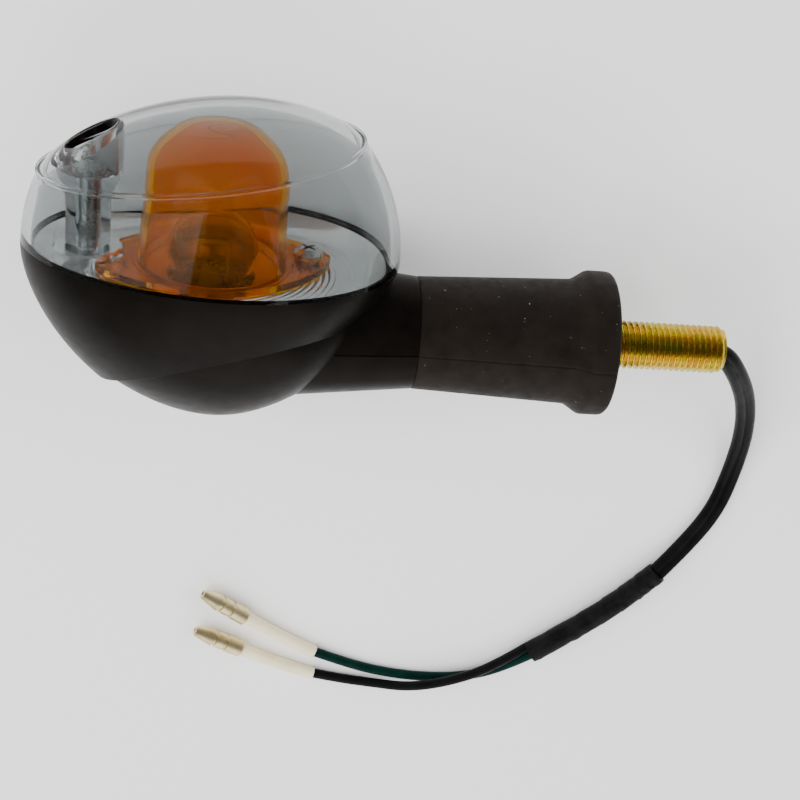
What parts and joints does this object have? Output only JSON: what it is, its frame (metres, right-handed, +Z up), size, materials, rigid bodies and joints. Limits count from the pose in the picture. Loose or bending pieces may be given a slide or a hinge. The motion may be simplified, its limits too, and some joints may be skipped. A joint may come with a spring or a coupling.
{
  "type": "turn signal indicator",
  "caption": "Motorcycle turn signal: clear lens over an amber-capped bulb in an egg-shaped black head, on a flexible rubber stem with a hollow threaded stud and a two-wire lead.",
  "frame": {"origin": "centre of the rubber stem's mounting face, where the threaded stud leaves it", "axes": "+X along the stud towards the vehicle, +Y the way the lens faces, +Z up with the lamp lying on its side"},
  "size_m": [0.1649, 0.153, 0.055],
  "materials": {
    "black_housing": "fine moulded texture",
    "black_rubber": "matte",
    "chromed_plastic": "vacuum metallised",
    "amber_plastic": "transparent amber",
    "plated_screw": "zinc plated",
    "clear_lens": "clear polished",
    "bulb_glass": "clear",
    "nickel_brass": "nickel plated",
    "black_glass": "glossy",
    "solder": "satin",
    "filament_wire": "drawn wire",
    "plated_steel": "zinc plated",
    "fibre_board": "phenolic fibre",
    "contact_brass": "satin",
    "spring_steel": "drawn wire",
    "yellow_zinc": "yellow zinc passivate",
    "black_pvc": "satin",
    "green_pvc": "satin",
    "black_tape": "wrinkled vinyl",
    "white_sleeve": "satin",
    "tinned_brass": "dull"
  },
  "bodies": {
    "stem": {"rubber_stem": "black_rubber", "hollow_stud": "yellow_zinc", "inner_sheath": "black_pvc", "lead_sheath": "black_pvc", "tape_wrap": "black_tape", "black_wire": "black_pvc", "green_wire": "green_pvc", "black_sleeve": "white_sleeve", "green_sleeve": "white_sleeve", "black_bullet": "tinned_brass", "green_bullet": "tinned_brass"},
    "head": {"housing": "black_housing", "lens_gasket": "black_rubber", "reflector": "chromed_plastic", "socket_shell": "plated_steel", "contact_spring": "spring_steel", "earth_lead": "green_pvc", "live_lead": "black_pvc"},
    "lens": {"lens": "clear_lens"},
    "lens_screw": {"lens_screw": "plated_screw"},
    "cap": {"amber_cap": "amber_plastic", "cap_screw": "plated_screw"},
    "contact": {"contact_carrier": "fibre_board", "live_contact": "contact_brass"},
    "bulb": {"bulb_glass": "bulb_glass", "bulb_base": "nickel_brass", "bulb_insulator": "black_glass", "bulb_contact": "solder", "bulb_filament": "filament_wire"}
  },
  "joints": [
    {"name": "stem_flex", "type": "hinge", "parent": "stem", "child": "head", "pos_m": [-0.022, 0, 0], "axis": [0, 0, 1], "range_deg": [-20, 20], "stiffness_Nm_per_rad": 2, "deforming": ["rubber_stem", "inner_sheath"]},
    {"name": "lens_lift", "type": "slide", "parent": "head", "child": "lens", "axis": [0, 1, 0], "range_m": [0, 0.06]},
    {"name": "lens_screw_draw", "type": "slide", "parent": "lens", "child": "lens_screw", "axis": [0, 1, 0], "range_m": [0, 0.03]},
    {"name": "cap_lift", "type": "slide", "parent": "head", "child": "cap", "axis": [0, 1, 0], "range_m": [0, 0.03]},
    {"name": "contact_plunge", "type": "slide", "parent": "head", "child": "contact", "axis": [0, -1, 0], "range_m": [0, 0.0012], "stiffness_N_per_m": 1000, "springref_m": -0.002, "deforming": ["contact_spring"]},
    {"name": "bulb_turn", "type": "hinge", "parent": "contact", "child": "bulb", "pos_m": [-0.0827, 0, 0], "axis": [0, 1, 0], "range_deg": [0, 25]}
  ],
  "couplings": [
    {"joint": "cap_lift", "follows": "lens_lift", "ratio": 0.5}
  ]
}
